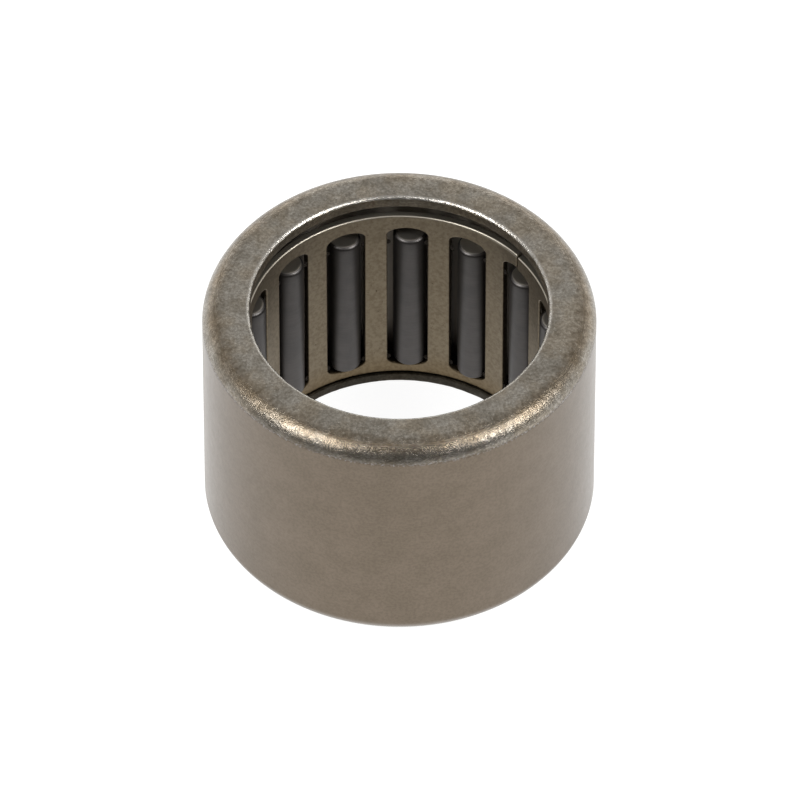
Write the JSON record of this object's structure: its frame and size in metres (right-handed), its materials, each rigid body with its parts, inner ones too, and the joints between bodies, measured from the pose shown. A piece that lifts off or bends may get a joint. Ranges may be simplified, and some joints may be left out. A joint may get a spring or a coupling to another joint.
{
  "type": "needle roller bearing",
  "caption": "Drawn-cup needle roller bearing, open at both ends: a thin steel cup with inturned lips holds a caged ring of slim rollers that carries a shaft in little radial space.",
  "frame": {"origin": "on the bearing's axis, in the plane of the lower end face that it stands on", "axes": "+Z along the bearing's axis, from the lower end face to the upper one; the cage's butt joint is 38.9 degrees from +X towards +Y"},
  "size_m": [0.023, 0.023, 0.016],
  "materials": {
    "cup_steel": "ground sleeve, tumbled end faces",
    "cage_steel": "hardened strip, satin with a faint straw tint",
    "roller_steel": "fine ground and lapped"
  },
  "bodies": {
    "cup": {"drawn_cup": "cup_steel"},
    "cage": {"cage": "cage_steel"},
    "roller_01": {"needle_roller_01": "roller_steel"},
    "roller_02": {"needle_roller_02": "roller_steel"},
    "roller_03": {"needle_roller_03": "roller_steel"},
    "roller_04": {"needle_roller_04": "roller_steel"},
    "roller_05": {"needle_roller_05": "roller_steel"},
    "roller_06": {"needle_roller_06": "roller_steel"},
    "roller_07": {"needle_roller_07": "roller_steel"},
    "roller_08": {"needle_roller_08": "roller_steel"},
    "roller_09": {"needle_roller_09": "roller_steel"},
    "roller_10": {"needle_roller_10": "roller_steel"},
    "roller_11": {"needle_roller_11": "roller_steel"},
    "roller_12": {"needle_roller_12": "roller_steel"},
    "roller_13": {"needle_roller_13": "roller_steel"},
    "roller_14": {"needle_roller_14": "roller_steel"},
    "roller_15": {"needle_roller_15": "roller_steel"}
  },
  "joints": [
    {"name": "cage_spin", "type": "hinge", "parent": "cup", "child": "cage", "pos_m": [0, 0, 0.00752], "axis": [0, 0, 1], "continuous": true},
    {"name": "roller_01_spin", "type": "hinge", "parent": "cage", "child": "roller_01", "pos_m": [0.00747, 0.00587, 0.00703], "axis": [0, 0, 1], "continuous": true},
    {"name": "roller_02_spin", "type": "hinge", "parent": "cage", "child": "roller_02", "pos_m": [0.00443, 0.0084, 0.00703], "axis": [0, 0, 1], "continuous": true},
    {"name": "roller_03_spin", "type": "hinge", "parent": "cage", "child": "roller_03", "pos_m": [0.00063, 0.00948, 0.00703], "axis": [0, 0, 1], "continuous": true},
    {"name": "roller_04_spin", "type": "hinge", "parent": "cage", "child": "roller_04", "pos_m": [-0.00328, 0.00892, 0.00703], "axis": [0, 0, 1], "continuous": true},
    {"name": "roller_05_spin", "type": "hinge", "parent": "cage", "child": "roller_05", "pos_m": [-0.00662, 0.00681, 0.00703], "axis": [0, 0, 1], "continuous": true},
    {"name": "roller_06_spin", "type": "hinge", "parent": "cage", "child": "roller_06", "pos_m": [-0.00882, 0.00353, 0.00703], "axis": [0, 0, 1], "continuous": true},
    {"name": "roller_07_spin", "type": "hinge", "parent": "cage", "child": "roller_07", "pos_m": [-0.00949, -0.00036, 0.00703], "axis": [0, 0, 1], "continuous": true},
    {"name": "roller_08_spin", "type": "hinge", "parent": "cage", "child": "roller_08", "pos_m": [-0.00853, -0.00419, 0.00703], "axis": [0, 0, 1], "continuous": true},
    {"name": "roller_09_spin", "type": "hinge", "parent": "cage", "child": "roller_09", "pos_m": [-0.00608, -0.0073, 0.00703], "axis": [0, 0, 1], "continuous": true},
    {"name": "roller_10_spin", "type": "hinge", "parent": "cage", "child": "roller_10", "pos_m": [-0.00259, -0.00914, 0.00703], "axis": [0, 0, 1], "continuous": true},
    {"name": "roller_11_spin", "type": "hinge", "parent": "cage", "child": "roller_11", "pos_m": [0.00135, -0.0094, 0.00703], "axis": [0, 0, 1], "continuous": true},
    {"name": "roller_12_spin", "type": "hinge", "parent": "cage", "child": "roller_12", "pos_m": [0.00506, -0.00804, 0.00703], "axis": [0, 0, 1], "continuous": true},
    {"name": "roller_13_spin", "type": "hinge", "parent": "cage", "child": "roller_13", "pos_m": [0.00789, -0.00529, 0.00703], "axis": [0, 0, 1], "continuous": true},
    {"name": "roller_14_spin", "type": "hinge", "parent": "cage", "child": "roller_14", "pos_m": [0.00936, -0.00162, 0.00703], "axis": [0, 0, 1], "continuous": true},
    {"name": "roller_15_spin", "type": "hinge", "parent": "cage", "child": "roller_15", "pos_m": [0.00921, 0.00233, 0.00703], "axis": [0, 0, 1], "continuous": true}
  ],
  "couplings": [
    {"joint": "roller_01_spin", "follows": "cage_spin", "ratio": -10.52},
    {"joint": "roller_02_spin", "follows": "cage_spin", "ratio": -10.52},
    {"joint": "roller_03_spin", "follows": "cage_spin", "ratio": -10.52},
    {"joint": "roller_04_spin", "follows": "cage_spin", "ratio": -10.52},
    {"joint": "roller_05_spin", "follows": "cage_spin", "ratio": -10.52},
    {"joint": "roller_06_spin", "follows": "cage_spin", "ratio": -10.52},
    {"joint": "roller_07_spin", "follows": "cage_spin", "ratio": -10.52},
    {"joint": "roller_08_spin", "follows": "cage_spin", "ratio": -10.52},
    {"joint": "roller_09_spin", "follows": "cage_spin", "ratio": -10.52},
    {"joint": "roller_10_spin", "follows": "cage_spin", "ratio": -10.52},
    {"joint": "roller_11_spin", "follows": "cage_spin", "ratio": -10.52},
    {"joint": "roller_12_spin", "follows": "cage_spin", "ratio": -10.52},
    {"joint": "roller_13_spin", "follows": "cage_spin", "ratio": -10.52},
    {"joint": "roller_14_spin", "follows": "cage_spin", "ratio": -10.52},
    {"joint": "roller_15_spin", "follows": "cage_spin", "ratio": -10.52}
  ]
}
